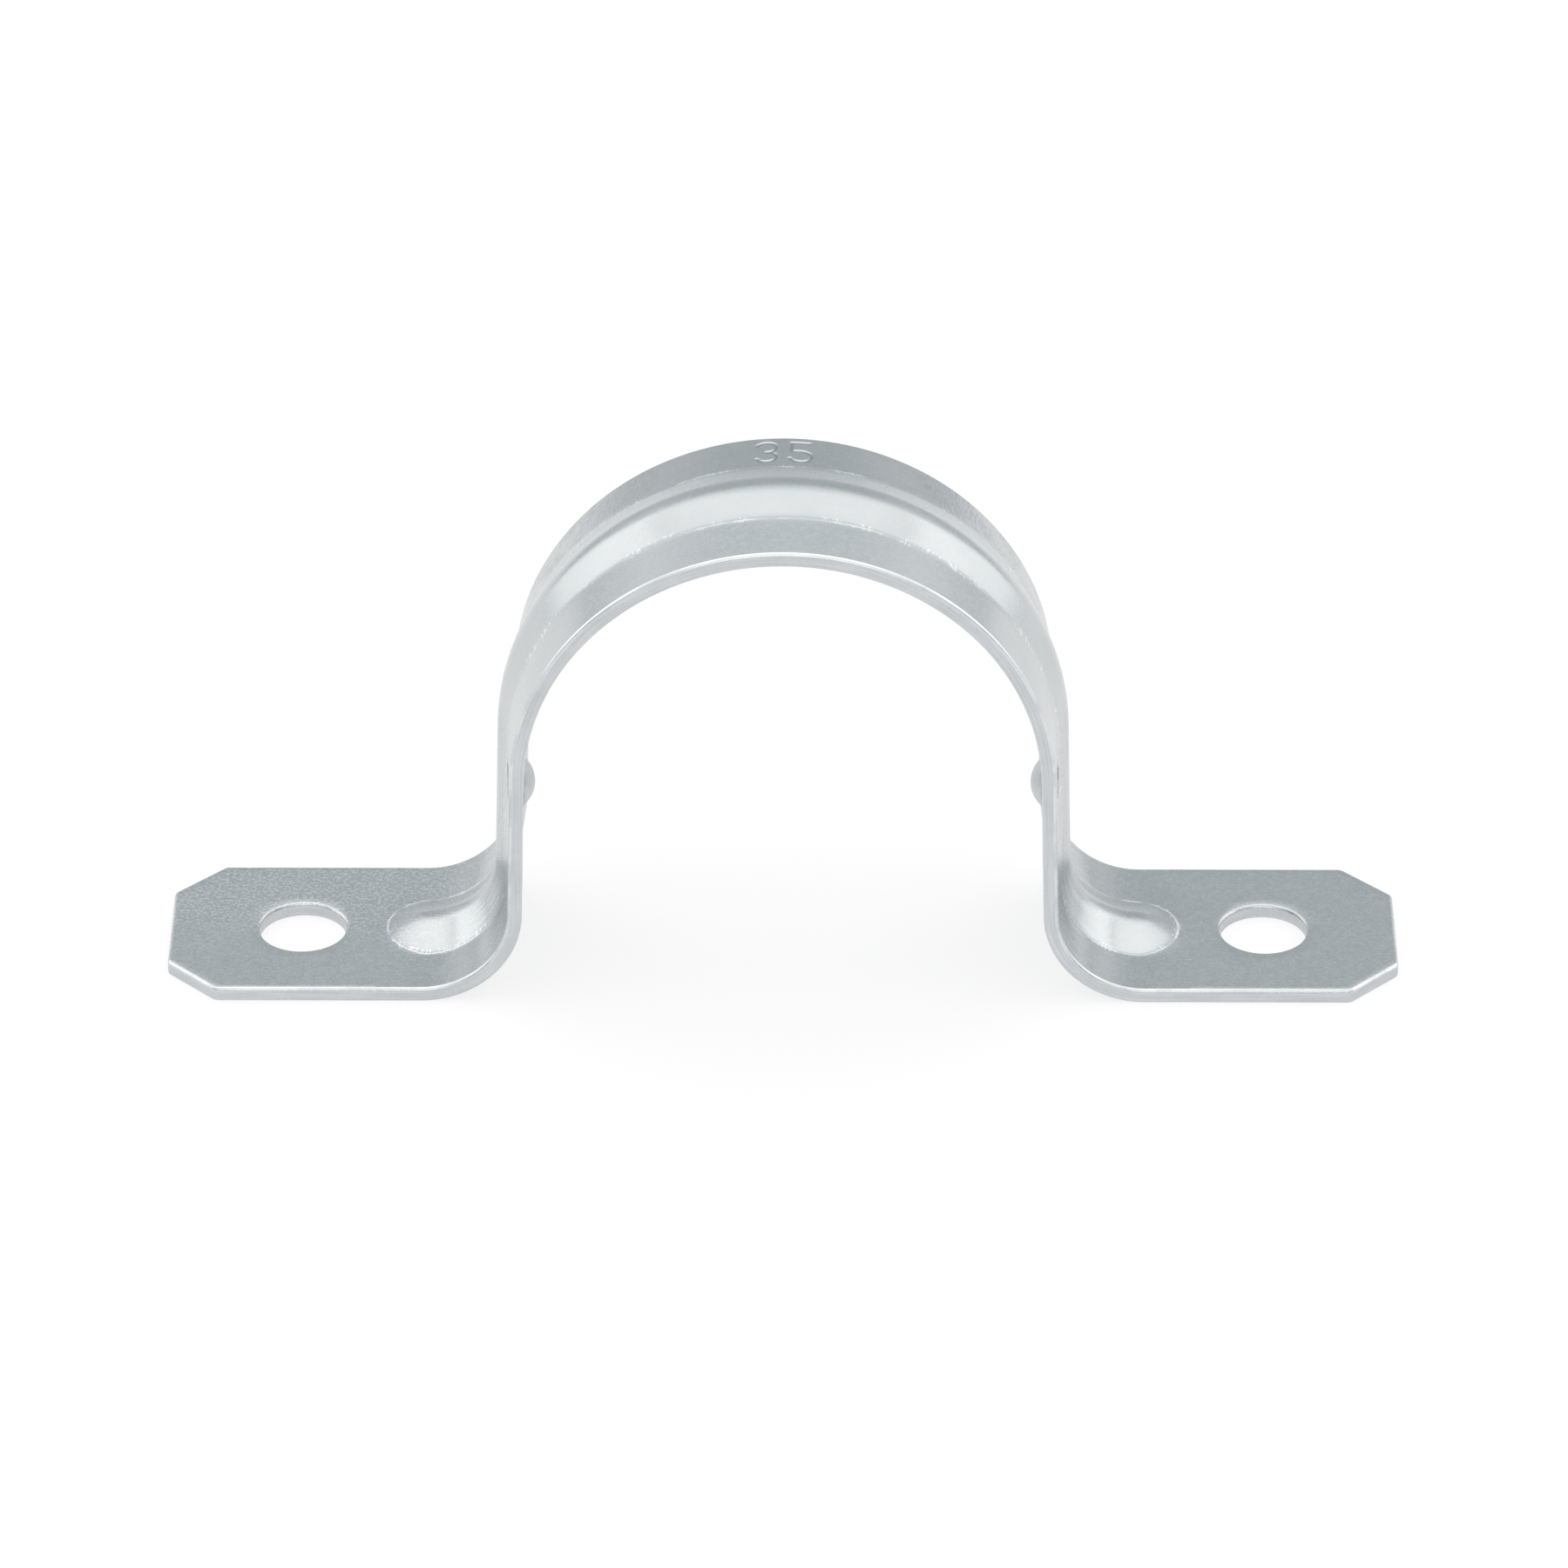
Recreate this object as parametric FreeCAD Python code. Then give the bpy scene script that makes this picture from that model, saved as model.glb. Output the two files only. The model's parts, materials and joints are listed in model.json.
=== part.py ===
# Two-hole conduit strap, pressed from one piece of galvanised sheet steel.
# Millimetres. +X runs from foot to foot, +Y along the conduit, +Z up.
# The origin is the middle of the mounting face, half way between the screw holes.
import FreeCAD, Part
import math
import os

Vector = FreeCAD.Vector

# The sheet and the blank
sheet_thickness = 1.2
strap_width = 18.7
edge_break = 0.15           # the worn corner that blanking leaves round the outer face

# The saddle that holds the conduit
conduit_diameter = 42.2
arch_centre_height = 20.7   # less than the conduit's radius, so the screws clamp it
leg_splay = 1.5             # degrees that each leg leans outwards
bend_radius = 7.35          # between leg and foot, on the outer face

# The feet
hole_spacing = 80.0
hole_diameter = 7.2
end_margin = 11.0           # from a hole's centre to the end of its foot
corner_cut_length = 4.1     # along the foot
corner_cut_width = 4.05     # across the foot
corner_rounding = 0.7

# The stiffening bead, pressed outwards from foot to foot
bead_width = 8.0
bead_height = 1.2
bead_crest_radius = 3.55    # the round crest, between straight flanks
bead_end_angle = 4.0        # degrees of the bend still to go where the bead's round end starts

# The dimples inside the legs, pressed inwards to bite on the conduit
dimple_diameter = 4.2
dimple_height = 1.05
dimple_below_centre = 1.4   # along the leg, below the arch's centre

tool_overshoot = 1.0        # how far a cutting tool stands out of the sheet
touching = 1e-5             # the gap below which two shapes count as in contact

# The arch ends and the legs start where the leg's line is tangent to the arch.
half_length = hole_spacing / 2 + end_margin
half_width = strap_width / 2
splay = math.radians(leg_splay)
arch_inner_radius = conduit_diameter / 2
arch_outer_radius = arch_inner_radius + sheet_thickness
arch_centre = Vector(0, 0, arch_centre_height)
across = Vector(0, 1, 0)
leg_outward = Vector(math.cos(splay), 0, math.sin(splay))
leg_down = Vector(math.sin(splay), 0, -math.cos(splay))

# The bend's centre is one bend radius above the foot and one outside the leg.
bend_centre_height = sheet_thickness + bend_radius
bend_drop = arch_centre_height - bend_centre_height
bend_reach = arch_outer_radius + bend_radius + bend_drop * math.sin(splay)
bend_centre = Vector(bend_reach / math.cos(splay), 0, bend_centre_height)
leg_length = (bend_centre - arch_centre).dot(leg_down)
bend_angle = 90 - leg_splay


def on_arch_end(level):
    # Where the arch passes into the right leg. Levels count from the outer face, outwards.
    return arch_centre + leg_outward * (arch_outer_radius + level)


def on_bend(level, angle_left):
    # A point of the right bend, with the angle still to turn before the foot.
    turn = math.radians(angle_left)
    to_sheet = Vector(-math.sin(turn), 0, -math.cos(turn))
    return bend_centre + to_sheet * (bend_radius - level)


def side_line(level):
    # One face of the sheet seen along the conduit, from the left end to the right end.
    foot_end = Vector(half_length, 0, sheet_thickness + level)
    bend_end = on_bend(level, 0)
    bend_middle = on_bend(level, bend_angle / 2)
    leg_end = on_bend(level, bend_angle)
    arch_end = on_arch_end(level)
    crown = arch_centre + Vector(0, 0, arch_outer_radius + level)
    right = [foot_end, bend_end, bend_middle, leg_end, arch_end]
    left = [Vector(-point.x, 0, point.z) for point in right]
    return [
        Part.LineSegment(left[0], left[1]),
        Part.Arc(left[1], left[2], left[3]),
        Part.LineSegment(left[3], left[4]),
        Part.Arc(left[4], crown, arch_end),
        Part.LineSegment(arch_end, leg_end),
        Part.Arc(leg_end, bend_middle, bend_end),
        Part.LineSegment(bend_end, foot_end),
    ]


def bent_sheet():
    upper = side_line(0)
    under = side_line(-sheet_thickness)
    left_end = Part.LineSegment(under[0].StartPoint, upper[0].StartPoint)
    right_end = Part.LineSegment(under[-1].EndPoint, upper[-1].EndPoint)
    curves = upper + under + [left_end, right_end]
    edges = Part.__sortEdges__([curve.toShape() for curve in curves])
    side = Part.Face(Part.Wire(edges))
    side.translate(across * -half_width)
    return side.extrude(across * strap_width)


def blank_outline():
    # An upright prism with the outline of the blank: a bar with its corners cut and rounded.
    cut_x = half_length - corner_cut_length
    cut_y = half_width - corner_cut_width
    right = [(cut_x, -half_width), (half_length, -cut_y), (half_length, cut_y), (cut_x, half_width)]
    left = [(-x, -y) for x, y in right]
    corners = [Vector(x, y, -tool_overshoot) for x, y in right + left]
    outline = Part.Face(Part.makePolygon(corners + corners[:1]))
    height = arch_centre_height + arch_outer_radius + 2 * tool_overshoot
    prism = outline.extrude(Vector(0, 0, height))
    upright = [edge for edge in prism.Edges if abs(edge.tangentAt(0).z) > math.cos(math.radians(45))]
    return prism.makeFillet(corner_rounding, upright)


def screw_hole(side):
    height = sheet_thickness + 2 * tool_overshoot
    foot = Vector(side * hole_spacing / 2, 0, -tool_overshoot)
    return Part.makeCylinder(hole_diameter / 2, height, foot)


def rim_edges(sheet):
    # The sharp edges of the outer face, which run round the blank and round the holes.
    outer_face = Part.Wire([curve.toShape() for curve in side_line(0)]).extrude(across * strap_width)
    outer_face.translate(across * -half_width)
    rim = []
    for edge in sheet.Edges:
        middle = edge.valueAt((edge.FirstParameter + edge.LastParameter) / 2)
        if outer_face.distToShape(Part.Vertex(middle))[0] > touching:
            continue
        faces = sheet.ancestorsOfType(edge, Part.Face)
        normals = [face.normalAt(*face.Surface.parameter(middle)) for face in faces]
        if abs(normals[0].dot(normals[-1])) < math.cos(math.radians(45)):
            rim.append(edge)
    return rim


def round_radius(width, height):
    return ((width / 2) ** 2 + height ** 2) / (2 * height)


def bead_section(origin, normal, radius, crest, floor, whole):
    # A roof's section with a round crest, or the half of it beside the normal. The crest and
    # the chord under the flanks are at their levels above the origin, along the normal.
    def point(level, reach):
        return origin + normal * level + across * reach

    centre = crest - radius
    tangent_level = centre + radius * math.cos(bead_flank)
    tangent_reach = radius * math.sin(bead_flank)
    floor_reach = tangent_reach + (tangent_level - floor) / math.tan(bead_flank)
    top = point(crest, 0)
    tangent = point(tangent_level, tangent_reach)
    lower_end = point(floor, floor_reach)
    if whole:
        far_tangent = point(tangent_level, -tangent_reach)
        arc = Part.Arc(far_tangent, top, tangent).toShape()
        flanks = Part.makePolygon([tangent, lower_end, point(floor, -floor_reach), far_tangent])
    else:
        half_turn = bead_flank / 2
        between = point(centre + radius * math.cos(half_turn), radius * math.sin(half_turn))
        arc = Part.Arc(top, between, tangent).toShape()
        flanks = Part.makePolygon([tangent, lower_end, point(floor, 0), top])
    return Part.Face(Part.Wire([arc] + flanks.Edges))


def bead_run(radius, crest, floor):
    # The bead's length from foot to foot: arch, legs, bends and the two round ends.
    section = (radius, crest, floor)
    over_arch = bead_section(on_arch_end(0), leg_outward, *section, True)
    arch = over_arch.revolve(arch_centre, -across, 180 - 2 * leg_splay)
    leg = over_arch.extrude(leg_down * leg_length)
    into_bend = bead_section(on_bend(0, bend_angle), leg_outward, *section, True)
    bend = into_bend.revolve(bend_centre, -across, bend_angle - bead_end_angle)
    end_point = on_bend(0, bead_end_angle)
    end_normal = (bend_centre - end_point).normalize()
    half_end = bead_section(end_point, end_normal, *section, False)
    end = half_end.revolve(end_point, end_normal, -180)
    right = [leg, bend, end]
    left = [piece.mirror(Vector(0, 0, 0), Vector(1, 0, 0)) for piece in right]
    return arch.fuse(right + left)


def dimple_section(origin, normal, radius, crest, floor):
    # Half of a circle's segment: a crest on the normal, an arc down to the floor and its chord.
    def point(level):
        reach = math.sqrt(radius ** 2 - (radius - crest + level) ** 2)
        return origin + normal * level + across * reach

    arc = Part.Arc(point(crest), point((crest + floor) / 2), point(floor)).toShape()
    sides = Part.makePolygon([point(floor), origin + normal * floor, point(crest)])
    return Part.Face(Part.Wire([arc] + sides.Edges))


def dimple_set(radius, crest, floor):
    # One round form on each leg, on either side of the bead, in the middle of the plain strip.
    centre_drop = leg_down * dimple_below_centre
    on_leg = arch_centre + leg_outward * arch_inner_radius + centre_drop
    from_middle = (bead_width / 2 + half_width) / 2
    forms = []
    for side in (-1, 1):
        origin = on_leg + across * (side * from_middle)
        half = dimple_section(origin, -leg_outward, radius, crest, floor)
        form = half.revolve(origin, leg_outward, 360)
        forms += [form, form.mirror(Vector(0, 0, 0), Vector(1, 0, 0))]
    return forms


# A flank of the bead is tangent to the crest's arc and meets the sheet at the bead's width.
half_bead = bead_width / 2
crest_centre_depth = bead_crest_radius - bead_height
to_crest_centre = math.hypot(half_bead, crest_centre_depth)
bead_flank = math.asin(bead_crest_radius / to_crest_centre) - math.atan2(crest_centre_depth, half_bead)
dimple_radius = ((dimple_diameter / 2) ** 2 + dimple_height ** 2) / (2 * dimple_height)

# Each hollow is one sheet inside its pressed form, so the sheet keeps its thickness.
root = -sheet_thickness / 2
hollow_floor = -sheet_thickness - tool_overshoot
ridge = bead_run(bead_crest_radius, bead_height, root)
groove = bead_run(bead_crest_radius - sheet_thickness, bead_height - sheet_thickness, hollow_floor)
bumps = dimple_set(dimple_radius, dimple_height, root)
hollows = dimple_set(dimple_radius - sheet_thickness, dimple_height - sheet_thickness, hollow_floor)

strap = bent_sheet().common(blank_outline())
strap = strap.cut([screw_hole(side) for side in (-1, 1)])
strap = strap.makeChamfer(edge_break, rim_edges(strap))
strap = strap.fuse(ridge).cut(groove)
strap = strap.fuse(bumps).cut(hollows).removeSplitter()
print("strap", strap.isValid(), len(strap.Solids), "solid", round(strap.Volume, 2), "mm3")

os.makedirs("parts", exist_ok=True)
strap.exportStep("parts/strap.step")
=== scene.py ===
import json
import math
import bmesh
import bpy
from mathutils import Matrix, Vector


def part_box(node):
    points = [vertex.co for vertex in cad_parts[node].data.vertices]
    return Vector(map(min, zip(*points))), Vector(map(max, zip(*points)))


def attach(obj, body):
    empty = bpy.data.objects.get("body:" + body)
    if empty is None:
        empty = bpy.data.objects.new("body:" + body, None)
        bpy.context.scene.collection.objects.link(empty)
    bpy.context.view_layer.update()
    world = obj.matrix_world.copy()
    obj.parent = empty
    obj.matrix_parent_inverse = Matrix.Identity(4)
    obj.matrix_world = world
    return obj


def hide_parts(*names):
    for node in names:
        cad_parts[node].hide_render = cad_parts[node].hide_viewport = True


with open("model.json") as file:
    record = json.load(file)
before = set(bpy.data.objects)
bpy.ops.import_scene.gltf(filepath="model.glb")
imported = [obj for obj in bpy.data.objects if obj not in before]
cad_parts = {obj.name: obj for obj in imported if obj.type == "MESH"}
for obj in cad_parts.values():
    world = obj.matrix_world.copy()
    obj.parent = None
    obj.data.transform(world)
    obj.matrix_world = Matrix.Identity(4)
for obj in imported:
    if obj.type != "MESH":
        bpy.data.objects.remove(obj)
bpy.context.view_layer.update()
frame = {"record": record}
mm = 0.001
print("CAD frame loaded")

# the strap's own sizes, in metres; its length, width, height and holes come from the frame
strap = {
    "sheet": 1.2 * mm,
    "archCentre": 20.7 * mm,
    "bendRadius": 7.35 * mm,       # on the outer face
    "splay": math.radians(1.5),
    "cutLength": 4.1 * mm,         # corner cuts
    "cutWidth": 4.05 * mm,
    "cornerRadius": 0.8 * mm,
    "beadWidth": 8.0 * mm,
    "beadHeight": 1.2 * mm,
    "beadCrest": 3.55 * mm,        # radius of its round crest
    "beadEnd": math.radians(4.0),  # of the bend still to go where the bead's round end starts
    "crease": 0.07 * mm,           # how softly the bead meets the sheet
    "noseRun": 3.0 * mm,           # the crease softens over this length past the bead's end
    "noseSoftening": 3,
    "flare": 0.33 * mm,            # the strips beside the bead lean out to it on the legs
    "crownFlare": 0.28 * mm,
    "dimpleWidth": 4.2 * mm,
    "dimpleHeight": 1.05 * mm,
    "dimpleDrop": 1.4 * mm,
    "hollowRim": 0.18 * mm,        # how softly the outer face goes down into a dimple
    "rollOver": 0.26 * mm,         # the blanked edge, above and below
    "burr": 0.05 * mm,
    # the rims' wear and painted highlight are that much narrower round the holes
    "holeWear": 0.20 * mm,         # the holes' rims are that much less worn than the strap's
    "fineMargin": 0.7 * mm,        # beside the bead
    "dimpleSpan": 3.2 * mm,        # finer rows on either side of a dimple
    "plainFoot": 3.6 * mm,         # from the bend to where the foot's own mesh starts
    "fineStep": 0.22 * mm,         # size of the mesh's squares
    "midStep": 0.27 * mm,          # stays wider than the rolled edge
    "wideStep": 0.5 * mm,
    "outlineStep": 0.7 * mm,
    "footRings": (0.1, 0.5, 0.82, 1.0),   # from the outline to the hole
    "wallLean": 0.6,               # share of y in a wall's map, for walls that run across the strap
}

# a plain size number, stamped in the back strip beside the crown of the bead
stamp = {
    "digits": "35",
    "height": 3.3 * mm,
    "width": 1.75 * mm,
    "gap": 1.0 * mm,
    "stroke": 0.30 * mm,
    "depth": 0.09 * mm,
    "soft edge": 0.16 * mm,
    "from middle": 6.75 * mm,
    "patch": (3.4 * mm, 2.3 * mm),   # half the size of the finer mesh round it
    "shade": 0.9,
}

mounts = {mount["name"]: mount for mount in frame["record"]["mounts"]}
holeX = mounts["screw_holes"]["dims"]["spacing_x_mm"] * mm / 2
holeRadius = mounts["screw_holes"]["dims"]["hole_r_mm"] * mm
lowCorner, highCorner = [Vector(corner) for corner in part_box("strap")]
halfLength = (highCorner.x - lowCorner.x) / 2
halfWidth = (highCorner.y - lowCorner.y) / 2
archOuter = highCorner.z - strap["beadHeight"] - strap["archCentre"]

# lengths along the outer face, from the crown to the end of the right foot
bendZ = strap["sheet"] + strap["bendRadius"]
bendX = archOuter + strap["bendRadius"] + (strap["archCentre"] - bendZ) * math.sin(strap["splay"])
bendX /= math.cos(strap["splay"])
bendTurn = math.pi / 2 - strap["splay"]
archLength = archOuter * bendTurn
legLength = bendX * math.sin(strap["splay"]) + (strap["archCentre"] - bendZ) * math.cos(strap["splay"])
legEnd = archLength + legLength
bendEnd = legEnd + strap["bendRadius"] * bendTurn
footShift = bendEnd - bendX                 # from a foot's x to its length along the face
beadEnd = bendEnd - strap["bendRadius"] * strap["beadEnd"]
plateStart = bendEnd + strap["plainFoot"]
sameRow = 0.01 * mm


def bent(length, across, rise):
    # a point of the flat blank, moved to where the folds take it
    side = math.copysign(1, length)
    run = abs(length)
    if run < archLength:
        turn = run / archOuter
        radius = archOuter + rise
        x, z = radius * math.sin(turn), strap["archCentre"] + radius * math.cos(turn)
    elif run < legEnd:
        down = run - archLength
        radius = archOuter + rise
        x = radius * math.cos(strap["splay"]) + down * math.sin(strap["splay"])
        z = strap["archCentre"] + radius * math.sin(strap["splay"]) - down * math.cos(strap["splay"])
    elif run < bendEnd:
        left = (bendEnd - run) / strap["bendRadius"]
        radius = strap["bendRadius"] - rise
        x, z = bendX - radius * math.sin(left), bendZ - radius * math.cos(left)
    else:
        x, z = run - footShift, strap["sheet"] + rise
    return Vector((side * x, across, z))


def softMax(value, softness):
    return (value + math.hypot(value, softness)) / 2


def roundRadius(width, height):
    return ((width / 2) ** 2 + height ** 2) / (2 * height)


def capHeight(radius, distance, centreDepth):
    # height of a ball over the face, its centre being this deep; falls away steeply outside
    if distance > radius:
        return 2 * (radius - distance) - centreDepth
    return math.sqrt(radius ** 2 - distance ** 2) - centreDepth


def flankSlope():
    # of the bead's straight flanks, which are tangent to its round crest
    halfBead = strap["beadWidth"] / 2
    crestDepth = strap["beadCrest"] - strap["beadHeight"]
    toCentre = math.hypot(halfBead, crestDepth)
    return math.asin(strap["beadCrest"] / toCentre) - math.atan2(crestDepth, halfBead)


def ridgeHeight(distance, outer):
    # the bead's section: a round crest between straight flanks, and the same sheet thickness inside
    halfBead = strap["beadWidth"] / 2
    crest = strap["beadCrest"]
    slope = flankSlope()
    radius = crest if outer else crest - strap["sheet"]
    if distance < radius * math.sin(slope):
        rise = strap["beadHeight"] - crest + math.sqrt(radius ** 2 - distance ** 2)
        return rise if outer else rise + strap["sheet"]
    flank = (halfBead - distance) * math.tan(slope)
    return flank if outer else flank - strap["sheet"] * (1 / math.cos(slope) - 1)


def beadReach(length, across):
    # distance from the bead's middle line, which ends a little before the foot
    beyond = max(0.0, abs(length) - beadEnd)
    return math.hypot(across, beyond), beyond


def footRise(beyond):
    # how the face curves up from the plane that touches it where the bead ends
    radius = strap["bendRadius"]
    turn = strap["beadEnd"]
    if beyond < radius * turn:
        return radius * (1 - math.cos(beyond / radius))
    return radius * (1 - math.cos(turn)) + (beyond - radius * turn) * math.sin(turn)


def flareAt(length):
    # small at the crown, full on the legs, gone in the foot
    run = abs(length)
    onLeg = min(1.0, (run / archLength) ** 2)
    fade = min(1.0, max(0.0, (bendEnd - run) / (bendEnd - legEnd)))
    fade = fade * fade * (3 - 2 * fade)
    return (strap["crownFlare"] + (strap["flare"] - strap["crownFlare"]) * onLeg) * fade


def dimpleSink(length, across, outer):
    # depth of the nearest dimple's hollow on the outer face, or height of its bump inside
    alongLeg = abs(length) - archLength - strap["dimpleDrop"]
    fromMiddle = (strap["beadWidth"] / 2 + halfWidth) / 2
    distance = math.hypot(alongLeg, abs(across) - fromMiddle)
    ball = roundRadius(strap["dimpleWidth"], strap["dimpleHeight"])
    depth = ball - strap["dimpleHeight"]
    if outer:
        return capHeight(ball - strap["sheet"], distance, depth - strap["sheet"])
    return capHeight(ball, distance, depth)


def pressedRise(length, across, outer):
    # how far the press moves a point of the outer or the inner face
    flare = flareAt(length)
    halfBead = strap["beadWidth"] / 2
    slope = (halfWidth - abs(across)) / (halfWidth - halfBead)
    base = flare * min(1.0, slope)
    distance, beyond = beadReach(length, across)
    rise = ridgeHeight(distance, outer) * (1 - flare / strap["beadHeight"])
    softness = strap["crease"] * (1 + strap["noseSoftening"] * min(1.0, beyond / strap["noseRun"]))
    rise = base + softMax(rise - footRise(beyond), softness)
    drawnIn = strap["hollowRim"] if outer else strap["crease"]
    return rise - softMax(dimpleSink(length, across, outer), drawnIn)


def strokesOf(digit):
    # a digit as lines and arcs in a box one unit wide and two high, around its middle
    if digit == "3":
        return [("arc", 0, 0.5, 0.5, -90, 160), ("arc", 0, -0.5, 0.5, -160, 90)]
    return [("line", 0.45, 1, -0.4, 1), ("line", -0.4, 1, -0.45, 0.1), ("line", -0.45, 0.1, 0, 0.12),
            ("arc", 0, -0.44, 0.56, -160, 90)]


def strokeDistance(x, y, stroke):
    point = Vector((x, y))
    if stroke[0] == "line":
        start, end = Vector(stroke[1:3]), Vector(stroke[3:5])
        along = end - start
        share = min(1, max(0, (point - start).dot(along) / along.length_squared))
        return (point - start - along * share).length
    _, cx, cy, radius, low, high = stroke
    angle = math.degrees(math.atan2(y - cy, x - cx))
    if low <= angle <= high:
        return abs(math.hypot(x - cx, y - cy) - radius)
    ends = [math.radians(end) for end in (low, high)]
    return min(math.hypot(x - cx - radius * math.cos(end), y - cy - radius * math.sin(end))
               for end in ends)


def stampShare(length, across):
    unit = stamp["height"] / 2
    pitch = stamp["width"] + stamp["gap"]
    nearest = 1.0
    for index, digit in enumerate(stamp["digits"]):
        middle = (index - (len(stamp["digits"]) - 1) / 2) * pitch
        x = (length - middle) / unit
        y = (across - stamp["from middle"]) / unit
        if abs(x) < 1.2 and abs(y) < 1.5:
            nearest = min([nearest] + [strokeDistance(x, y, stroke) for stroke in strokesOf(digit)])
    edge = nearest * unit - stamp["stroke"] / 2
    share = min(1.0, max(0.0, 0.5 - edge / stamp["soft edge"]))
    return share * share * (3 - 2 * share)


def rimGap(length, across):
    # distance from the nearest edge of the blank or of a screw hole
    run, side = abs(length), abs(across)
    endX = halfLength + footShift
    cut = Vector((strap["cutWidth"], strap["cutLength"])).normalized()
    toCut = cut.dot(Vector((endX - run, halfWidth - strap["cutWidth"] - side)))
    toHole = math.hypot(run - holeX - footShift, side) - holeRadius
    return min(halfWidth - side, endX - run, toCut, toHole + strap["holeWear"])


def sheetRows(bm):
    # the blank from foot to foot, drawn out row by row with finer rows where the press works
    fineHalf = strap["beadWidth"] / 2 + strap["fineMargin"]
    places = [-halfWidth, -fineHalf, fineHalf, halfWidth]
    points = [bm.verts.new((-plateStart, y, 0)) for y in places]
    spans = [bm.edges.new(pair) for pair in zip(points, points[1:])]
    sideCuts = round((halfWidth - fineHalf) / strap["midStep"]) - 1
    middleCuts = round(2 * fineHalf / strap["fineStep"]) - 1
    bmesh.ops.subdivide_edges(bm, edges=[spans[0], spans[2]], cuts=sideCuts)
    bmesh.ops.subdivide_edges(bm, edges=[spans[1]], cuts=middleCuts)
    row = list(bm.verts) + list(bm.edges)
    span = strap["dimpleSpan"]
    dimpleAt = archLength + strap["dimpleDrop"]
    half = [(plateStart - legEnd, "fineStep"), (legEnd - dimpleAt - span, "wideStep"),
            (2 * span, "fineStep")]
    zones = half + [(2 * (dimpleAt - span), "wideStep")] + half[::-1]
    for length, step in zones:
        count = round(length / strap[step])
        spun = bmesh.ops.spin(bm, geom=row, cent=(0, 0, 0), axis=(0, 0, 1), angle=0,
                              dvec=(length / count, 0, 0), steps=count)
        row = spun["geom_last"]


def onRow(point, side):
    # whether a point is in the row where the foot's own mesh starts
    return abs(point.co.x - side * plateStart) < sameRow


def addFoot(bm, side):
    # the flat end: its outline with rounded corner cuts, joined round the screw hole
    rowPoints = [point for point in bm.verts if onRow(point, side)]
    rowPoints.sort(key=lambda point: point.co.y)
    endX = halfLength + footShift
    cutX, cutY = endX - strap["cutLength"], halfWidth - strap["cutWidth"]
    corners = [bm.verts.new((side * x, y, 0)) for x, y in
               [(cutX, -halfWidth), (endX, -cutY), (endX, cutY), (cutX, halfWidth)]]
    chain = [rowPoints[0]] + corners + [rowPoints[-1]]
    for pair in zip(chain, chain[1:]):
        bm.edges.new(pair)
    tangent = strap["cornerRadius"] * math.tan(math.radians(22.5))
    bmesh.ops.bevel(bm, geom=corners, offset=tangent, offset_type="OFFSET", segments=5, profile=0.5,
                    affect="VERTICES", clamp_overlap=False, material=-1)
    for edge in [edge for edge in bm.edges if edge.is_wire]:
        if edge.calc_length() > strap["cornerRadius"]:
            cuts = round(edge.calc_length() / strap["outlineStep"])
            bmesh.ops.subdivide_edges(bm, edges=[edge], cuts=cuts)
    outline = [edge for edge in bm.edges if edge.is_wire]
    outline += [edge for edge in bm.edges if all(onRow(point, side) for point in edge.verts)]
    centre = Vector((side * (holeX + footShift), 0, 0))
    share = 0.0
    for nextShare in strap["footRings"]:
        grown = bmesh.ops.extrude_edge_only(bm, edges=outline)["geom"]
        for point in [item for item in grown if isinstance(item, bmesh.types.BMVert)]:
            outward = point.co - centre
            gap = outward.length - holeRadius
            left = (1 - nextShare) / (1 - share)
            point.co = centre + outward.normalized() * (holeRadius + gap * left)
        outline = [item for item in grown if isinstance(item, bmesh.types.BMEdge) and item.is_boundary]
        outline = [edge for edge in outline if all(v in grown for v in edge.verts)]
        share = nextShare


def rimEdges(bm, level):
    # sharp edges of the flat plate at one level
    chosen = []
    for edge in bm.edges:
        flat = all(abs(point.co.z - level) < 1e-7 for point in edge.verts)
        if flat and len(edge.link_faces) == 2 and edge.calc_face_angle() > 1.0:
            chosen.append(edge)
    return chosen


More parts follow.
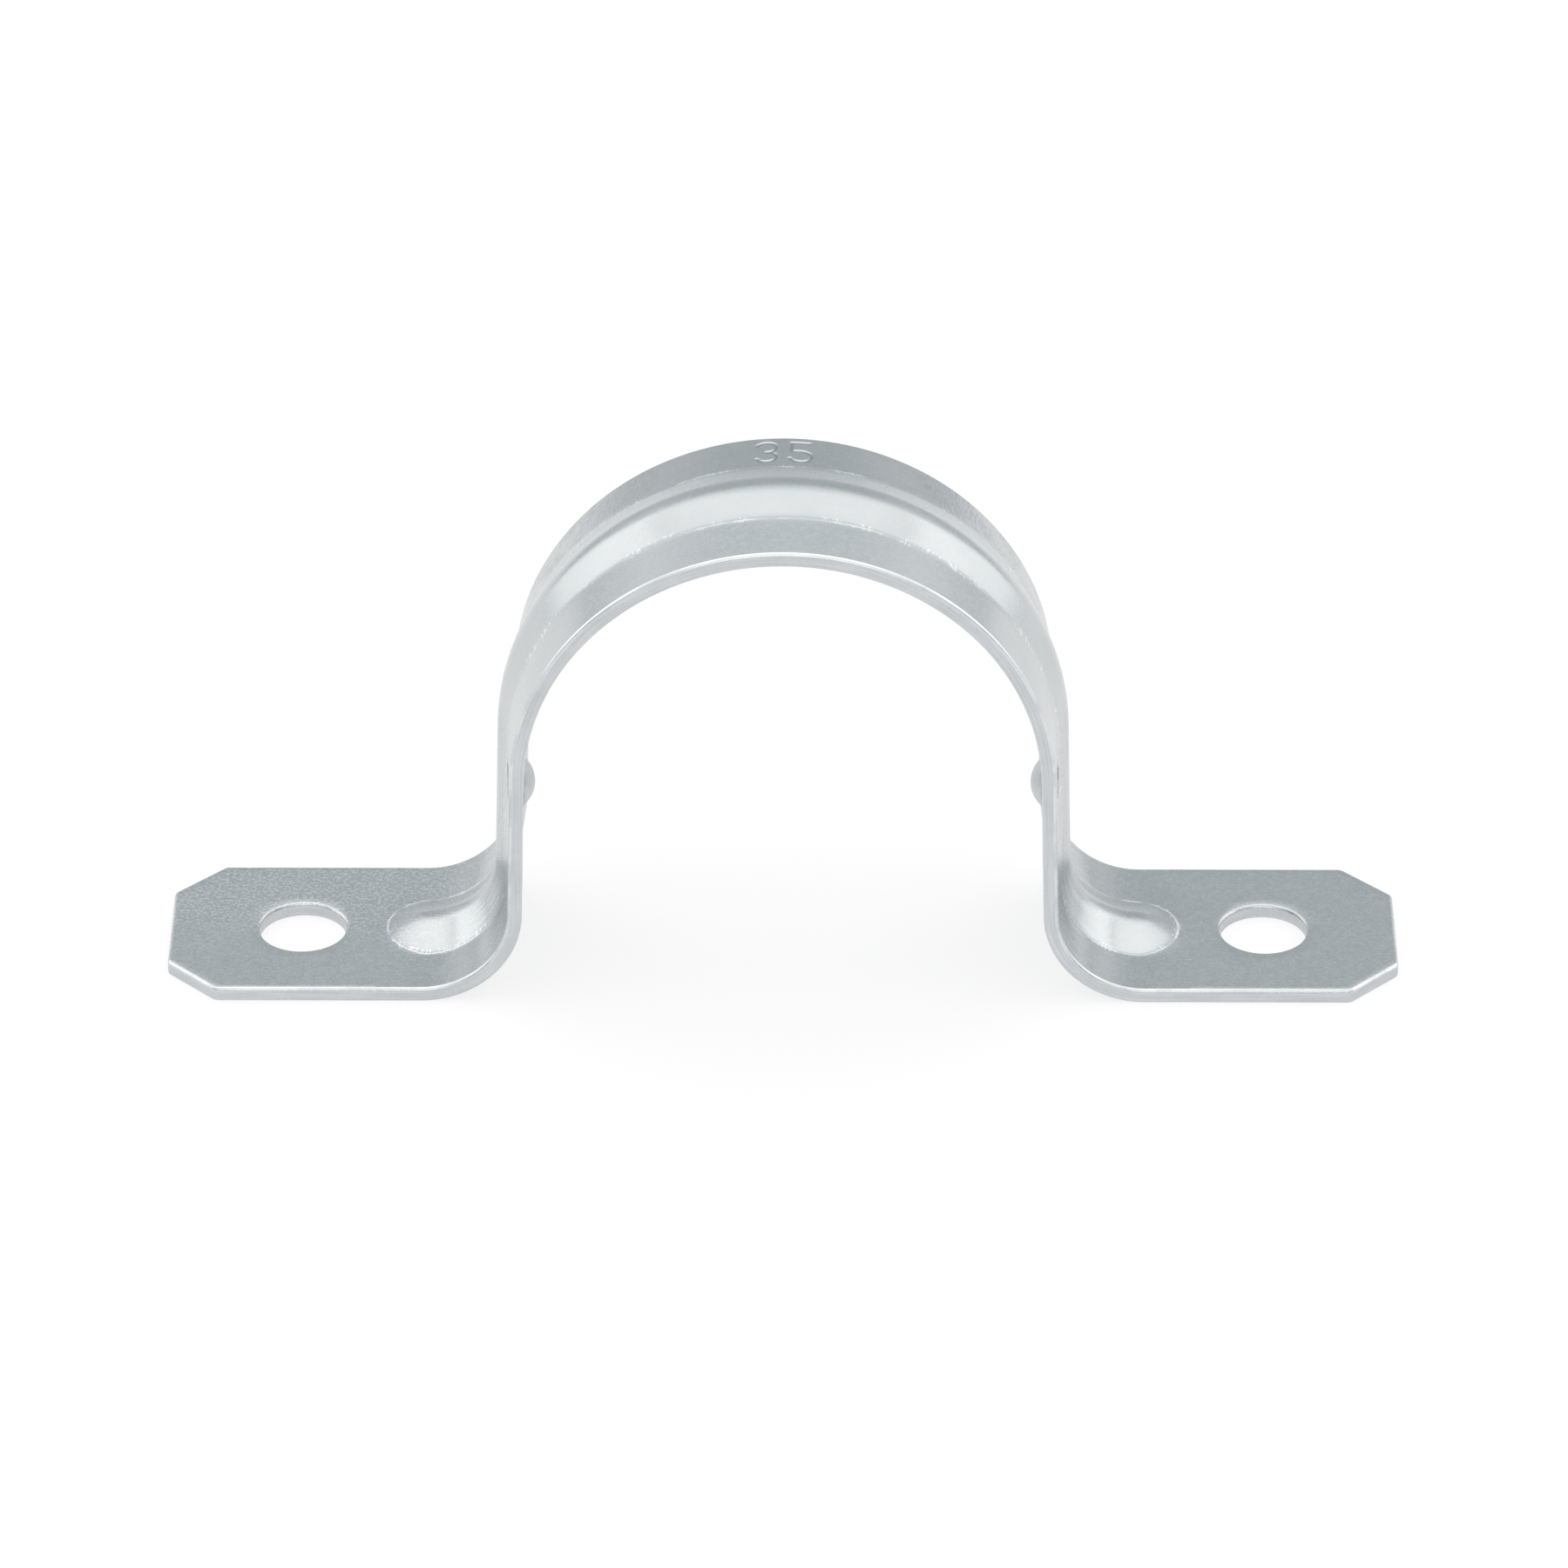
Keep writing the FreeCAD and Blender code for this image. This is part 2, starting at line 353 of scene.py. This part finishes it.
def buildStrap():
    bm = bmesh.new()
    sheetRows(bm)
    addFoot(bm, -1)
    addFoot(bm, 1)
    print("blank laid out:", len(bm.faces), "faces")
    reachX, reachY = stamp["patch"]
    patch = [edge for edge in bm.edges
             if all(abs(point.co.x) < reachX and abs(point.co.y - stamp["from middle"]) < reachY
                    for point in edge.verts)]
    bmesh.ops.subdivide_edges(bm, edges=patch, cuts=3, use_grid_fill=True)
    bmesh.ops.recalc_face_normals(bm, faces=bm.faces)
    if sum(face.normal.z for face in bm.faces) < 0:
        bmesh.ops.reverse_faces(bm, faces=bm.faces)
    lower = bmesh.ops.extrude_face_region(bm, geom=list(bm.faces), use_keep_orig=True)["geom"]
    lowered = [item for item in lower if isinstance(item, bmesh.types.BMVert)]
    bmesh.ops.translate(bm, verts=lowered, vec=(0, 0, -strap["sheet"]))
    bmesh.ops.recalc_face_normals(bm, faces=bm.faces)
    for level, size, steps in ((0, "rollOver", 3), (-strap["sheet"], "burr", 2)):
        bmesh.ops.bevel(bm, geom=rimEdges(bm, level), offset=strap[size], offset_type="OFFSET",
                        segments=steps, profile=0.5, affect="EDGES", clamp_overlap=False, material=-1)
    bm.normal_update()
    for face in bm.faces:
        face.smooth = True
        face.material_index = 1 if abs(face.normal.z) < 0.05 else 0
    for edge in bm.edges:
        if len({face.material_index for face in edge.link_faces}) == 2:
            edge.smooth = False
    print("blank thickened and its rims rolled:", len(bm.faces), "faces")

    sheetUv = bm.loops.layers.uv.new("sheet")
    for face in bm.faces:
        for corner in face.loops:
            x, y, z = corner.vert.co
            onWall = face.material_index == 1
            corner[sheetUv].uv = (x + strap["wallLean"] * y, z) if onWall else (x, y)
    creaseLayer = bm.verts.layers.float.new("creaseDistance")
    rimLayer = bm.verts.layers.float.new("rimDistance")
    # painted shade: darker in the dimples' hollows on the outer face and in the stamp's strokes
    hollowShadeLayer = bm.verts.layers.float.new("hollowShade")
    # painted highlight: the dimples' bumps inside the legs are painted lighter
    nubLayer = bm.verts.layers.float.new("nub")     # the dimples' inner side
    for point in bm.verts:
        length, across, depth = point.co
        share = -depth / strap["sheet"]
        outerRise = pressedRise(length, across, True)
        innerRise = pressedRise(length, across, False)
        rise = outerRise * (1 - share) + innerRise * share
        distance, beyond = beadReach(length, across)
        sunk = footRise(beyond) / math.tan(flankSlope())
        point[creaseLayer] = (distance - strap["beadWidth"] / 2 + sunk) / mm
        point[rimLayer] = rimGap(length, across) / mm
        outerSink = dimpleSink(length, across, True) / strap["dimpleHeight"]
        innerSink = dimpleSink(length, across, False) / strap["dimpleHeight"]
        hollowShade = min(1.0, max(0.0, outerSink)) * (1 - share)
        nub = min(1.0, max(0.0, 4 * innerSink)) * share
        onOuterFace = share < 0.01
        if onOuterFace and abs(length) < reachX:
            pressed = stampShare(length, across)
            rise -= stamp["depth"] * pressed
            # painted shade in the stamp's strokes
            hollowShade = stamp["shade"] * pressed
        point[hollowShadeLayer] = hollowShade
        point[nubLayer] = nub
        point.co = bent(length, across, depth + rise)
    mesh = bpy.data.meshes.new("strapPressed")
    bm.to_mesh(mesh)
    bm.free()
    piece = bpy.data.objects.new("strapPressed", mesh)
    bpy.context.collection.objects.link(piece)
    # shading follows the wide faces, so the rolled rims don't tint the flats
    shading = piece.modifiers.new("wideFaces", "WEIGHTED_NORMAL")
    shading.keep_sharp = True
    print("strap pressed and bent:", len(mesh.vertices), "points")
    return piece


# the galvanised face: its grain, then the colour of each mark, some of them painted light and shade,
# and how much of it shows
zinc = {
    "dark": (0.516, 0.537, 0.549),
    "light": (0.578, 0.597, 0.607),
    "crystal": 0.40 * mm,
    "speckle": 0.24 * mm,
    "cloud": 4.0 * mm,
    "fine span": (0.32, 0.68),     # the noise between no grain and full grain
    "speck span": (0.60, 0.72),
    "speck crystals": (0.45, 0.75),
    "cloud span": (0.3, 0.7),
    "crystal share": 0.45,         # of the grain; fine speckle makes the rest
    "crystal height": 0.8,
    "cloud share": 0.34,
    "smoothest": 0.35,             # how much of the grain is left where forming has smoothed it
    "roughness": 0.25,
    "grain roughness": 0.10,
    "line roughness": 0.15,
    "nub roughness": 0.35,         # how much rougher the dimples are inside the legs
    "bump": 0.0035 * mm,
    "colours": {
        "speck": ((0.84, 0.845, 0.85), 0.5),
        "draw": ((0.42, 0.445, 0.46), 0.65),
        "coarse": ((0.76, 0.775, 0.785), 0.55),
        # painted reflection on the front strip by the crown
        "frontSheen": ((0.70, 0.72, 0.73), 0.7),
        # darker ripples, and painted shade over the back strip
        "rippleAndShade": ((0.42, 0.445, 0.46), 0.7),
        # painted shade in the dimples' hollows and the stamp's strokes
        "hollowShade": ((0.30, 0.32, 0.33), 0.7),
        # painted highlight on the dimples' bumps inside the legs
        "nub": ((0.68, 0.70, 0.71), 1.0),
        # worn rims, painted lighter, partly as their highlight
        "rim": ((0.86, 0.865, 0.87), 0.55),
        "tick": ((0.80, 0.81, 0.815), 0.85),
        "line": ((0.88, 0.885, 0.89), 0.8),
    },
    "heights": {"draw": 2.6, "rippleAndShade": -5.0, "coarse": 2.0, "tick": 3.0, "line": 4.5},
}

# where the press leaves its marks and where light and shade are painted, and their sizes along
# and over the strap; the spans of the crease and of the rim are in millimetres, as their attributes
# are; noise and patches give the noise between nothing and all of a mark, and then how much those two
# are if not 0 and 1
marks = {
    "ragged": 0.16 * mm,
    "patchy": 2.6 * mm,
    "line": (0.02, 0.17, 0.06),                # start, end, soft margin
    "line shake": 0.34,
    "line patches": (0.36, 0.58, 0.15, 1.0),
    "line by foot": (4 * mm, 8 * mm, 0.1),     # past the leg, and what is left before it
    "line by crown": (6 * mm, 10 * mm, 0.75),  # and how strong it is at the crown
    "tick": (0.22 * mm, 0.9 * mm),
    "tick reach": 0.25,
    "tick noise": (0.50, 0.60),
    "tick patches": (0.46, 0.60),
    "draw": (9 * mm, 0.24 * mm),
    "draw fade": 4 * mm,
    "draw noise": (0.42, 0.60),
    "rim": (0.16, 0.30),
    "rim shake": 0.3,
    "rim patches": (0.34, 0.60, 0.45, 1.0),
    "rippleAndShade": (0.26 * mm, 1.1 * mm),
    "ripple slant": math.radians(12),
    "ripple over": (5 * mm, 8.8 * mm, 0.6 * mm),
    "ripple along": (13 * mm, 26 * mm, 4 * mm),
    # the floors of 0.2 and 0.3 paint an even shade over the whole band
    "ripple noise": (0.42, 0.62, 0.2, 1.0),
    "ripple patches": (0.36, 0.60, 0.3, 1.0),
    "burnish margin": 0.3 * mm,
    "burnish along": (10 * mm, 24 * mm),
    "coarse": 0.30 * mm,
    "coarse from bend": 2 * mm,
    "coarse over": (-4 * mm, 3 * mm, 0.3),     # and what is left in front
    "coarse noise": (0.50, 0.62),
}

# the sheared rim: shear lines along it, finer brush lines across it, slow changes and grain
cutRim = {
    "dark": (0.50, 0.52, 0.535),
    "light": (0.675, 0.695, 0.71),
    "line": (7 * mm, 0.13 * mm),
    "brush": (0.10 * mm, 1.6 * mm),
    "slow": 4 * mm,
    "noise": (0.35, 0.65),         # between the dark and the light of the lines
    "shares": {"line": 0.4, "brush": 0.35, "grain": 0.15, "slow": 0.2},
    "roughness": 0.42,
    "brush roughness": 0.12,
    "bump": 0.012 * mm,
    "brush height": 0.6,
}


def newMaterial(name):
    material = bpy.data.materials.new(name)
    material.use_nodes = True
    return material, material.node_tree, material.node_tree.nodes["Principled BSDF"]


def addNode(tree, kind, **values):
    # a node with its settings and the values of its free sockets
    node = tree.nodes.new("ShaderNode" + kind)
    for name, value in values.items():
        if hasattr(node, name):
            setattr(node, name, value)
        else:
            node.inputs[name.replace("_", " ")].default_value = value
    return node


def addMath(tree, operation, first, second):
    node = tree.nodes.new("ShaderNodeMath")
    node.operation = operation
    for socket, value in zip(node.inputs, (first, second)):
        if isinstance(value, (int, float)):
            socket.default_value = value
        else:
            tree.links.new(value, socket)
    return node.outputs[0]


def addProduct(tree, first, second):
    return addMath(tree, "MULTIPLY", first, second)


def addSum(tree, first, second):
    return addMath(tree, "ADD", first, second)


def addRange(tree, value, low, high, toLow=0.0, toHigh=1.0):
    node = tree.nodes.new("ShaderNodeMapRange")
    node.interpolation_type = "SMOOTHSTEP"
    for name, number in (("From Min", low), ("From Max", high), ("To Min", toLow), ("To Max", toHigh)):
        node.inputs[name].default_value = number
    tree.links.new(value, node.inputs["Value"])
    return node.outputs["Result"]


def addMix(tree, factor, first, second):
    node = tree.nodes.new("ShaderNodeMix")
    node.data_type = "RGBA"
    for name, value in (("Factor", factor), ("A", first), ("B", second)):
        socket = node.inputs[name]
        if isinstance(value, bpy.types.NodeSocket):
            tree.links.new(value, socket)
        else:
            socket.default_value = (*value, 1) if isinstance(value, tuple) else value
    return node.outputs["Result"]


def newGroup(name, inputs, outputs):
    group = bpy.data.node_groups.new(name, "ShaderNodeTree")
    for socket, kind, value in inputs:
        made = group.interface.new_socket(name=socket, in_out="INPUT", socket_type=kind)
        if value is not None:
            made.default_value = value
    for socket, kind in outputs:
        group.interface.new_socket(name=socket, in_out="OUTPUT", socket_type=kind)
    return group, group.nodes.new("NodeGroupInput"), group.nodes.new("NodeGroupOutput")


def grainGroup():
    # crystals of zinc, fine speckle and slow clouds, for every face of the sheet
    group, given, made = newGroup(
        "zincGrain",
        [("Vector", "NodeSocketVector", None), ("Crystal Size", "NodeSocketFloat", zinc["crystal"]),
         ("Speckle Size", "NodeSocketFloat", zinc["speckle"]),
         ("Cloud Size", "NodeSocketFloat", zinc["cloud"])],
        [("Grain", "NodeSocketFloat"), ("Speck", "NodeSocketFloat"), ("Cloud", "NodeSocketFloat"),
         ("Height", "NodeSocketFloat")])
    crystal = addNode(group, "TexVoronoi", Randomness=1.0)
    speckle = addNode(group, "TexNoise", Detail=3.0, Roughness=0.6)
    cloud = addNode(group, "TexNoise", Detail=3.0, Roughness=0.55)
    sizes = ((crystal, "Crystal Size"), (speckle, "Speckle Size"), (cloud, "Cloud Size"))
    for node, size in sizes:
        group.links.new(given.outputs["Vector"], node.inputs["Vector"])
        group.links.new(addMath(group, "DIVIDE", 1.0, given.outputs[size]), node.inputs["Scale"])
    tilt = addNode(group, "SeparateColor")
    group.links.new(crystal.outputs["Color"], tilt.inputs[0])
    fine = addRange(group, speckle.outputs[0], *zinc["fine span"])
    grain = addSum(group, addProduct(group, tilt.outputs[0], zinc["crystal share"]),
                   addProduct(group, fine, 1 - zinc["crystal share"]))
    speck = addProduct(group, addRange(group, speckle.outputs[0], *zinc["speck span"]),
                       addRange(group, tilt.outputs[1], *zinc["speck crystals"]))
    relief = addProduct(group, crystal.outputs["Distance"], zinc["crystal height"])
    height = addSum(group, fine, relief)
    group.links.new(grain, made.inputs["Grain"])
    group.links.new(speck, made.inputs["Speck"])
    group.links.new(addRange(group, cloud.outputs[0], *zinc["cloud span"]), made.inputs["Cloud"])
    group.links.new(height, made.inputs["Height"])
    return group


def placeGrain(tree, group):
    place = addNode(tree, "TexCoord")
    node = tree.nodes.new("ShaderNodeGroup")
    node.node_tree = group
    tree.links.new(place.outputs["Object"], node.inputs["Vector"])
    return node


def streakGroup():
    # noise drawn out on the sheet's own map: a mark's length along the strap and its width over it
    group, given, made = newGroup(
        "drawnStreaks",
        [("Vector", "NodeSocketVector", None), ("Length", "NodeSocketFloat", 1 * mm),
         ("Width", "NodeSocketFloat", 1 * mm), ("Detail", "NodeSocketFloat", 2.0)],
        [("Streak", "NodeSocketFloat")])
    size = addNode(group, "CombineXYZ", Z=1.0)
    group.links.new(given.outputs["Length"], size.inputs["X"])
    group.links.new(given.outputs["Width"], size.inputs["Y"])
    drawnOut = addNode(group, "VectorMath", operation="DIVIDE")
    group.links.new(given.outputs["Vector"], drawnOut.inputs[0])
    group.links.new(size.outputs[0], drawnOut.inputs[1])
    noise = addNode(group, "TexNoise", Scale=1.0, Roughness=0.55)
    group.links.new(drawnOut.outputs[0], noise.inputs["Vector"])
    group.links.new(given.outputs["Detail"], noise.inputs["Detail"])
    group.links.new(noise.outputs[0], made.inputs["Streak"])
    return group


def addStreaks(tree, vector, along, over, detail=2.0):
    node = tree.nodes.new("ShaderNodeGroup")
    node.node_tree = bpy.data.node_groups["drawnStreaks"]
    tree.links.new(vector, node.inputs["Vector"])
    for name, value in (("Length", along), ("Width", over), ("Detail", detail)):
        node.inputs[name].default_value = value
    return node.outputs["Streak"]


def addBand(tree, value, low, high, soft):
    # 1 between two values, falling to 0 over a soft margin outside them
    rising = addRange(tree, value, low - soft, low)
    return addProduct(tree, rising, addRange(tree, value, high, high + soft, 1.0, 0.0))


def readAttribute(tree, name):
    return addNode(tree, "Attribute", attribute_name=name).outputs["Fac"]


def shaken(tree, value, noise, amount):
    # a value that noise moves up and down by half an amount
    return addSum(tree, value, addProduct(tree, addMath(tree, "SUBTRACT", noise, 0.5), amount))


def pressMarks(tree, sheet):
    # masks of what the press leaves and of painted light and shade, and how much of the grain the
    # forming has smoothed
    split = addNode(tree, "SeparateXYZ")
    tree.links.new(sheet, split.inputs[0])
    length, over = split.outputs[0], split.outputs[1]
    run = addMath(tree, "ABSOLUTE", length, 0)
    crease = readAttribute(tree, "creaseDistance")
    ragged = addStreaks(tree, sheet, marks["ragged"], marks["ragged"])
    patchy = addStreaks(tree, sheet, marks["patchy"], marks["patchy"])
    masks = {"hollowShade": readAttribute(tree, "hollowShade"), "nub": readAttribute(tree, "nub")}

    # a die line just outside the bead's crease, by the crown and round the bead's ends
    line = addBand(tree, shaken(tree, crease, ragged, marks["line shake"]), *marks["line"])
    line = addProduct(tree, line, addRange(tree, patchy, *marks["line patches"]))
    start, end, left = marks["line by foot"]
    byFoot = addRange(tree, run, legEnd + start, legEnd + end, left, 1.0)
    start, end, left = marks["line by crown"]
    byCrown = addRange(tree, run, start, end, left, 0.0)
    masks["line"] = addProduct(tree, line, addMath(tree, "MAXIMUM", byFoot, byCrown))

    # short ticks over the crease
    reach = marks["tick reach"]
    tick = addRange(tree, addStreaks(tree, sheet, *marks["tick"]), *marks["tick noise"])
    tick = addProduct(tree, tick, addBand(tree, crease, -reach, reach, reach))
    masks["tick"] = addProduct(tree, tick, addRange(tree, patchy, *marks["tick patches"]))

    # draw lines down the legs
    draw = addRange(tree, addStreaks(tree, sheet, *marks["draw"]), *marks["draw noise"])
    fade = marks["draw fade"]
    masks["draw"] = addProduct(tree, draw, addBand(tree, run, archLength, legEnd + fade, fade))

    # the worn rim, painted lighter, partly as wear and partly as a painted highlight
    rim = shaken(tree, readAttribute(tree, "rimDistance"), ragged, marks["rim shake"])
    rim = addRange(tree, rim, *marks["rim"], 1.0, 0.0)
    masks["rim"] = addProduct(tree, rim, addRange(tree, patchy, *marks["rim patches"]))

    # fine ripples over the back strip, painted darker, and an even painted shade over the whole band
    slanted = addNode(tree, "Mapping")
    slanted.inputs["Rotation"].default_value = (0, 0, marks["ripple slant"])
    tree.links.new(sheet, slanted.inputs["Vector"])
    rippleAndShade = addStreaks(tree, slanted.outputs[0], *marks["rippleAndShade"], 3.0)
    rippleAndShade = addRange(tree, rippleAndShade, *marks["ripple noise"])
    rippleAndShade = addProduct(tree, rippleAndShade, addBand(tree, over, *marks["ripple over"]))
    rippleAndShade = addProduct(tree, rippleAndShade, addBand(tree, run, *marks["ripple along"]))
    masks["rippleAndShade"] = addProduct(tree, rippleAndShade, addRange(tree, patchy, *marks["ripple patches"]))

    # painted reflection: the front strip is painted lighter by the crown
    margin = marks["burnish margin"]
    frontSheen = addBand(tree, over, -halfWidth, -strap["beadWidth"] / 2 - margin, margin)
    byCrown = addRange(tree, run, *marks["burnish along"], 1.0, 0.0)
    masks["frontSheen"] = addProduct(tree, frontSheen, byCrown)

    # the zinc is coarser on the left foot, most of all at its back
    coarse = addStreaks(tree, sheet, marks["coarse"], marks["coarse"], 3.0)
    coarse = addRange(tree, coarse, *marks["coarse noise"])
    fromBend = addRange(tree, length, -bendEnd - marks["coarse from bend"], -legEnd, 1.0, 0.0)
    coarse = addProduct(tree, coarse, fromBend)
    masks["coarse"] = addProduct(tree, coarse, addRange(tree, over, *marks["coarse over"], 1.0))

    # forming has smoothed the grain over the arch
    return masks, addRange(tree, run, archLength, bendEnd, zinc["smoothest"], 1.0)


def zincMaterial(group):
    material, tree, shader = newMaterial("galvanisedFace")
    grain = placeGrain(tree, group)
    sheet = addNode(tree, "UVMap", uv_map="sheet").outputs[0]
    masks, smoothed = pressMarks(tree, sheet)
    masks["speck"] = addProduct(tree, grain.outputs["Speck"], smoothed)

    tone = addMath(tree, "SUBTRACT", grain.outputs["Grain"], 0.5)
    tone = addSum(tree, addProduct(tree, tone, smoothed), 0.5)
    tone = addSum(tree, addProduct(tree, tone, 1 - zinc["cloud share"]),
                  addProduct(tree, grain.outputs["Cloud"], zinc["cloud share"]))
    colour = addMix(tree, tone, zinc["dark"], zinc["light"])
    for name, (markColour, strength) in zinc["colours"].items():
        colour = addMix(tree, addProduct(tree, masks[name], strength), colour, markColour)
    tree.links.new(colour, shader.inputs["Base Color"])
    shader.inputs["Metallic"].default_value = 1.0

    half = zinc["grain roughness"] / 2
    rough = addProduct(tree, grain.outputs["Grain"], zinc["grain roughness"])
    rough = addSum(tree, zinc["roughness"] - half, rough)
    for name in ("line", "nub"):
        rough = addSum(tree, rough, addProduct(tree, masks[name], zinc[name + " roughness"]))
    tree.links.new(rough, shader.inputs["Roughness"])

    height = addProduct(tree, grain.outputs["Height"], smoothed)
    for name, rise in zinc["heights"].items():
        height = addSum(tree, height, addProduct(tree, masks[name], rise))
    bump = addNode(tree, "Bump", Strength=1.0, Distance=zinc["bump"])
    tree.links.new(height, bump.inputs["Height"])
    tree.links.new(bump.outputs[0], shader.inputs["Normal"])
    return material


def cutMaterial(group):
    material, tree, shader = newMaterial("cutEdge")
    grain = placeGrain(tree, group)
    sheet = addNode(tree, "UVMap", uv_map="sheet").outputs[0]
    lines = addRange(tree, addStreaks(tree, sheet, *cutRim["line"]), *cutRim["noise"])
    brush = addStreaks(tree, sheet, *cutRim["brush"])
    slow = addStreaks(tree, sheet, cutRim["slow"], cutRim["slow"])
    slow = addRange(tree, slow, *cutRim["noise"])
    shares = cutRim["shares"]
    tone = addProduct(tree, lines, shares["line"])
    for value, name in ((brush, "brush"), (grain.outputs["Grain"], "grain"), (slow, "slow")):
        tone = addSum(tree, tone, addProduct(tree, value, shares[name]))
    colour = addMix(tree, tone, cutRim["dark"], cutRim["light"])
    tree.links.new(colour, shader.inputs["Base Color"])
    shader.inputs["Metallic"].default_value = 1.0

    half = cutRim["brush roughness"] / 2
    rough = addProduct(tree, brush, cutRim["brush roughness"])
    tree.links.new(addSum(tree, cutRim["roughness"] - half, rough), shader.inputs["Roughness"])

    height = addSum(tree, lines, addProduct(tree, brush, cutRim["brush height"]))
    bump = addNode(tree, "Bump", Strength=1.0, Distance=cutRim["bump"])
    tree.links.new(height, bump.inputs["Height"])
    tree.links.new(bump.outputs[0], shader.inputs["Normal"])
    return material


# camera, floor and air
studio = {
    "lens": 223.8,
    "distance": 804.7 * mm,
    "elevation": math.radians(32.08),
    "azimuth": math.radians(0.23),
    "target": Vector((0.07, 0, 15.35)) * mm,
    "world low": (0.60, 0.63, 0.645),
    "world high": (1.20, 1.19, 1.185),
    "grey patch": (0, 0.857, 0.515),
    "patch tone": (0.556, 0.608, 0.628),
    "patch inside": math.radians(7),
    "patch outside": math.radians(33),
    "floor": 0.95,
    "floor size": 3,
    "floor glow": 0.75,
}

# soft square lamps, all turned to a point above the mounting face: place, width, height and power
lamps = {
    "topLight": ((0, 0.25, 0.75), 1.1, 0.9, 1.2),
    "leftLight": ((-0.75, 0.22, 0.33), 0.9, 0.6, 1.2),
    "rightLight": ((0.75, 0.22, 0.33), 0.9, 0.6, 1.2),
    "frontLight": ((0, -1.0, 0.5), 0.8, 0.4, 0.6),
}
lampColour = (1, 0.98, 0.955)
lampAim = Vector((0, 0, 0.02))


def addCamera():
    data = bpy.data.cameras.new("camera")
    data.lens = studio["lens"]
    data.sensor_width = 36
    camera = bpy.data.objects.new("camera", data)
    azimuth, elevation = studio["azimuth"], studio["elevation"]
    level = math.cos(elevation)
    back = Vector((math.sin(azimuth) * level, -math.cos(azimuth) * level, math.sin(elevation)))
    camera.location = studio["target"] + back * studio["distance"]
    camera.rotation_euler = back.to_track_quat("Z", "Y").to_euler()
    bpy.context.collection.objects.link(camera)
    bpy.context.scene.camera = camera


def addLamp(name, place, width, height, power):
    data = bpy.data.lights.new(name, "AREA")
    data.shape = "RECTANGLE"
    data.size = width
    data.size_y = height
    data.energy = power
    data.color = lampColour
    lamp = bpy.data.objects.new(name, data)
    lamp.location = place
    away = Vector(place) - lampAim
    lamp.rotation_euler = away.to_track_quat("Z", "Y").to_euler()
    bpy.context.collection.objects.link(lamp)


def addFloor():
    bm = bmesh.new()
    bmesh.ops.create_grid(bm, x_segments=1, y_segments=1, size=studio["floor size"])
    mesh = bpy.data.meshes.new("floor")
    bm.to_mesh(mesh)
    bm.free()
    floor = bpy.data.objects.new("floor", mesh)
    bpy.context.collection.objects.link(floor)
    material, tree, shader = newMaterial("paleFloor")
    shader.inputs["Base Color"].default_value = (studio["floor"],) * 3 + (1,)
    shader.inputs["Roughness"].default_value = 0.9
    shader.inputs["Specular IOR Level"].default_value = 0.0
    # part of the white that is seen is the floor's own, which leaves the shadow soft
    path = addNode(tree, "LightPath")
    seen = addMath(tree, "MAXIMUM", path.outputs["Is Camera Ray"], path.outputs["Is Glossy Ray"])
    seen = addMath(tree, "MAXIMUM", seen, path.outputs["Is Transmission Ray"])
    glow = addNode(tree, "Emission", Strength=1.0)
    mix = addNode(tree, "MixShader")
    tree.links.new(addMath(tree, "MULTIPLY", seen, studio["floor glow"]), mix.inputs[0])
    tree.links.new(shader.outputs[0], mix.inputs[1])
    tree.links.new(glow.outputs[0], mix.inputs[2])
    tree.links.new(mix.outputs[0], tree.nodes["Material Output"].inputs["Surface"])
    mesh.materials.append(material)


def addWorld():
    # brighter overhead, with a soft grey patch high behind the strap
    world = bpy.data.worlds.new("studioAir")
    world.use_nodes = True
    bpy.context.scene.world = world
    tree = world.node_tree
    direction = addNode(tree, "TexCoord").outputs["Generated"]
    split = addNode(tree, "SeparateXYZ")
    tree.links.new(direction, split.inputs[0])
    towards = addNode(tree, "VectorMath", operation="DOT_PRODUCT")
    towards.inputs[1].default_value = studio["grey patch"]
    tree.links.new(direction, towards.inputs[0])
    sky = addMix(tree, split.outputs["Z"], studio["world low"], studio["world high"])
    outside, inside = math.cos(studio["patch outside"]), math.cos(studio["patch inside"])
    patch = addRange(tree, towards.outputs["Value"], outside, inside)
    shade = addMix(tree, patch, sky, studio["patch tone"])
    tree.links.new(shade, tree.nodes["Background"].inputs["Color"])


piece = buildStrap()
grainMarks = grainGroup()
streakGroup()
piece.data.materials.append(zincMaterial(grainMarks))
piece.data.materials.append(cutMaterial(grainMarks))
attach(piece, "root")
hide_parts("strap")
print("strap dressed")

addCamera()
addFloor()
addWorld()
for name, (place, width, height, power) in lamps.items():
    addLamp(name, place, width, height, power)
bpy.context.scene.view_settings.view_transform = "Standard"
print("studio set")
